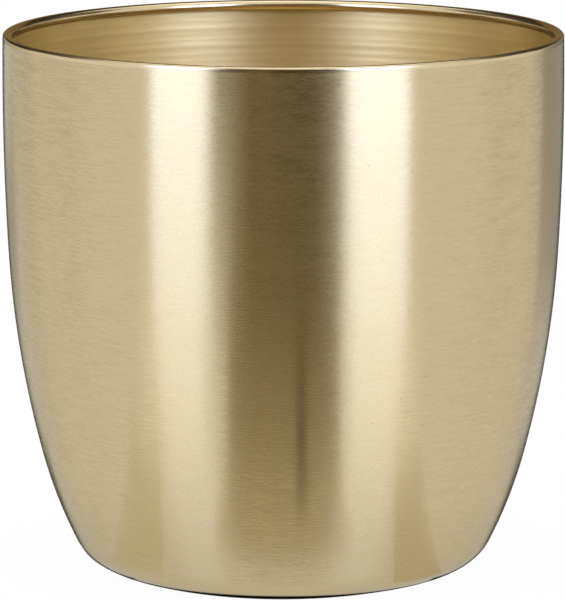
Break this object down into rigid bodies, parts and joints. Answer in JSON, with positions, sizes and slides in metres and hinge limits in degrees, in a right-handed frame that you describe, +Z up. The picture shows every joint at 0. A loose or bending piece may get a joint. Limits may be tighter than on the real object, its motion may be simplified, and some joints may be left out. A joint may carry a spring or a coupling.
{
  "type": "cachepot",
  "caption": "Round spun-metal cachepot with a brushed brass finish, softly curved sides, a rounded base corner and a wired rolled rim, on small stick-on feet.",
  "frame": {"origin": "middle of the underside, in the plane that the four pads stand on", "axes": "+Z up along the pot's axis; the pot is the same all round, and -Y is taken as its front"},
  "size_m": [0.2, 0.2, 0.1928],
  "materials": {
    "brushed_brass": "brushed round the outside, satin inside",
    "steel_wire": "drawn wire",
    "pad_rubber": "matte"
  },
  "bodies": {
    "root": {"pot_body": "brushed_brass", "rim_wire": "steel_wire", "foot_pad_1": "pad_rubber", "foot_pad_2": "pad_rubber", "foot_pad_3": "pad_rubber", "foot_pad_4": "pad_rubber"}
  },
  "joints": []
}
